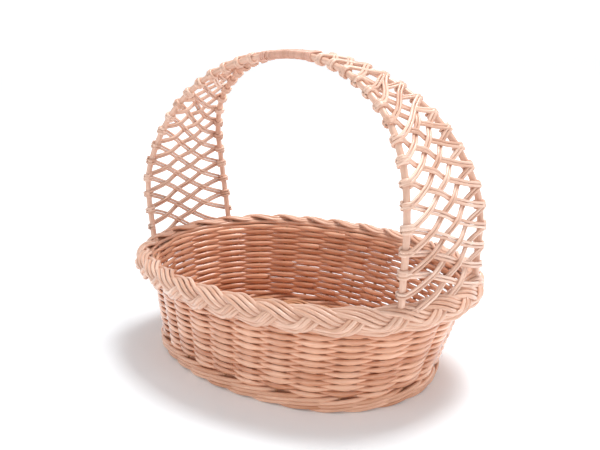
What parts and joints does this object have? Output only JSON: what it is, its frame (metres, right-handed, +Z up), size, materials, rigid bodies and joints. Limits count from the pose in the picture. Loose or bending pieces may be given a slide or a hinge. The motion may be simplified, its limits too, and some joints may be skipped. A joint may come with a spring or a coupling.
{
  "type": "woven willow basket",
  "caption": "Oval woven willow carrying basket with a plaited border and a tall arched handle of two hoops joined by lattice and a wrapped grip.",
  "frame": {"origin": "on the floor, under the middle of the rim", "axes": "+X along the length of the oval and the handle, +Y towards the back, +Z up"},
  "size_m": [0.414, 0.288, 0.323],
  "materials": {
    "stake_willow": "satin, peeled and buff",
    "weave_willow": "satin, buff",
    "wale_willow": "satin, buff",
    "border_willow": "satin, pale buff",
    "hoop_willow": "smooth satin, peeled",
    "lattice_willow": "smooth satin, peeled",
    "wrap_skein": "satin, flat split skein"
  },
  "bodies": {
    "root": {"base_cross_stick_1": "stake_willow", "base_cross_stick_2": "stake_willow", "base_cross_stick_3": "stake_willow", "base_cross_stick_4": "stake_willow", "base_cross_stick_5": "stake_willow", "base_cross_stick_6": "stake_willow", "base_cross_stick_7": "stake_willow", "base_long_stick_1": "stake_willow", "base_long_stick_2": "stake_willow", "base_long_stick_3": "stake_willow", "base_weave_centre": "weave_willow", "base_weave_middle": "weave_willow", "base_weave_outer": "weave_willow", "upsett_wale": "wale_willow", "stakes_right": "stake_willow", "stakes_back": "stake_willow", "stakes_left": "stake_willow", "stakes_front": "stake_willow", "weave_band_1": "weave_willow", "weave_band_2": "weave_willow", "weave_band_3": "weave_willow", "weave_band_4": "weave_willow", "weave_band_5": "weave_willow", "weave_band_6": "weave_willow", "weave_band_7": "weave_willow", "plait_border": "border_willow", "hoop_front": "hoop_willow", "hoop_back": "hoop_willow", "lashings_front_right": "lattice_willow", "lashings_front_left": "lattice_willow", "lashings_back_right": "lattice_willow", "lashings_back_left": "lattice_willow", "lattice_rising_right": "lattice_willow", "lattice_rising_left": "lattice_willow", "lattice_falling_right": "lattice_willow", "lattice_falling_left": "lattice_willow", "grip_wrap": "wrap_skein"}
  },
  "joints": []
}
